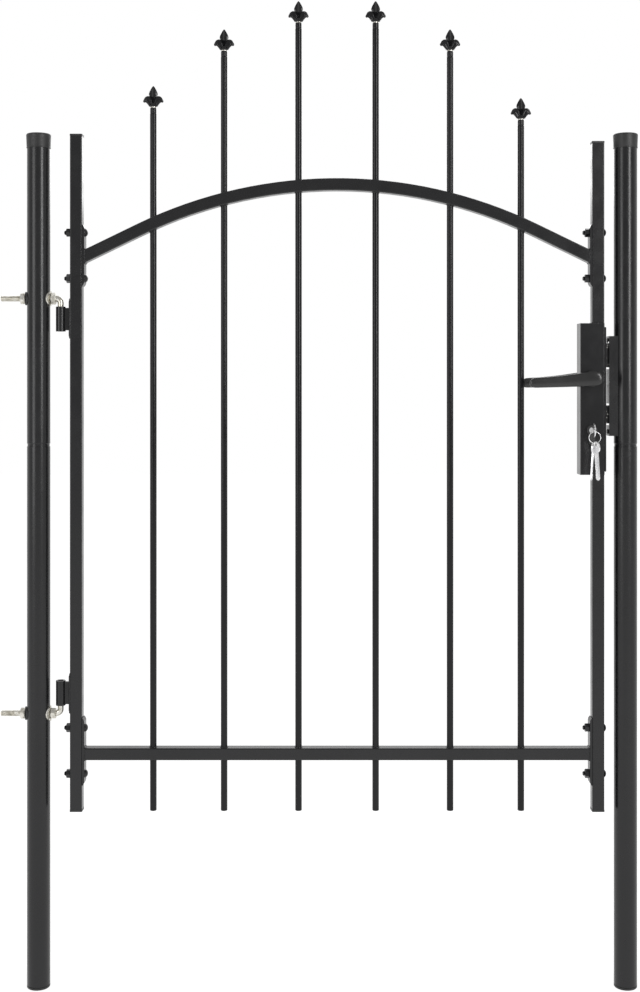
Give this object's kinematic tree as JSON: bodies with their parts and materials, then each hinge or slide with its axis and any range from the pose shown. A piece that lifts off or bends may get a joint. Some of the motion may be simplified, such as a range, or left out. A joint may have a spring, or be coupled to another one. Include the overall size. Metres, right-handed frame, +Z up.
{
  "type": "steel garden gate",
  "caption": "Arched steel garden gate leaf with spear-topped bars, hung between two round posts, with a lever lock.",
  "frame": {"origin": "centre of the hinge post's foot, on the bottom face of its plug", "axes": "+X from the hinge post to the lock post, -Y is the front, +Z up; posts and leaf share the plane Y = 0"},
  "size_m": [1.0563, 0.111, 1.635],
  "materials": {
    "black_paint": "semi-gloss black powder coat",
    "black_plastic": "satin black plastic",
    "zinc_plated": "bright zinc plated steel",
    "nickel": "nickel plated"
  },
  "bodies": {
    "posts": {"hinge_post_lower": "black_paint", "hinge_post_upper": "black_paint", "hinge_post_cap": "black_plastic", "hinge_post_plug": "black_plastic", "lock_post_lower": "black_paint", "lock_post_upper": "black_paint", "lock_post_cap": "black_plastic", "lock_post_plug": "black_plastic", "upper_hinge_rod": "zinc_plated", "lower_hinge_rod": "zinc_plated", "hinge_nuts": "zinc_plated", "hinge_washers": "zinc_plated", "hinge_saddles": "black_plastic", "strike": "black_paint", "strike_screws": "black_paint"},
    "leaf": {"hinge_stile": "black_paint", "lock_stile_upper": "black_paint", "lock_stile_lower": "black_paint", "stile_caps": "black_plastic", "arch": "black_paint", "bottom_rail": "black_paint", "bar_1": "black_paint", "bar_2": "black_paint", "bar_3": "black_paint", "bar_4": "black_paint", "bar_5": "black_paint", "bar_6": "black_paint", "finial_1": "black_paint", "finial_2": "black_paint", "finial_3": "black_paint", "finial_4": "black_paint", "finial_5": "black_paint", "finial_6": "black_paint", "end_plates": "black_paint", "plate_bolts": "black_paint", "plate_nuts": "black_paint", "upper_hinge_eye": "black_paint", "lower_hinge_eye": "black_paint", "lock_case": "black_paint", "lock_forend": "black_paint", "lock_cylinder": "nickel", "door_key": "nickel"},
    "handle": {"front_lever": "black_paint", "rear_lever": "black_paint", "lever_spindle": "zinc_plated"},
    "latch_body": {"latch": "black_paint"},
    "dead_bolt_body": {"dead_bolt": "black_paint"},
    "ring_body": {"key_ring": "nickel", "spare_keys": "nickel"}
  },
  "joints": [
    {"name": "leaf_swing", "type": "hinge", "parent": "posts", "child": "leaf", "pos_m": [0.0367, 0, 0], "axis": [0, 0, 1], "range_deg": [0, 100]},
    {"name": "handle_turn", "type": "hinge", "parent": "leaf", "child": "handle", "pos_m": [0.9148, 0, 1.008], "axis": [0, -1, 0], "range_deg": [0, 40], "stiffness_Nm_per_rad": 1.5, "springref_deg": -14.32},
    {"name": "latch_slide", "type": "slide", "parent": "leaf", "child": "latch_body", "axis": [-1, 0, 0], "range_m": [0, 0.0105]},
    {"name": "dead_bolt_slide", "type": "slide", "parent": "leaf", "child": "dead_bolt_body", "axis": [-1, 0, 0], "range_m": [0, 0.0105]},
    {"name": "ring_swing", "type": "hinge", "parent": "leaf", "child": "ring_body", "pos_m": [0.9148, -0.044, 0.923], "axis": [-1, 0, 0], "range_deg": [-10, 75]}
  ],
  "couplings": [
    {"joint": "latch_slide", "follows": "handle_turn", "m_per_rad": 0.015039}
  ]
}
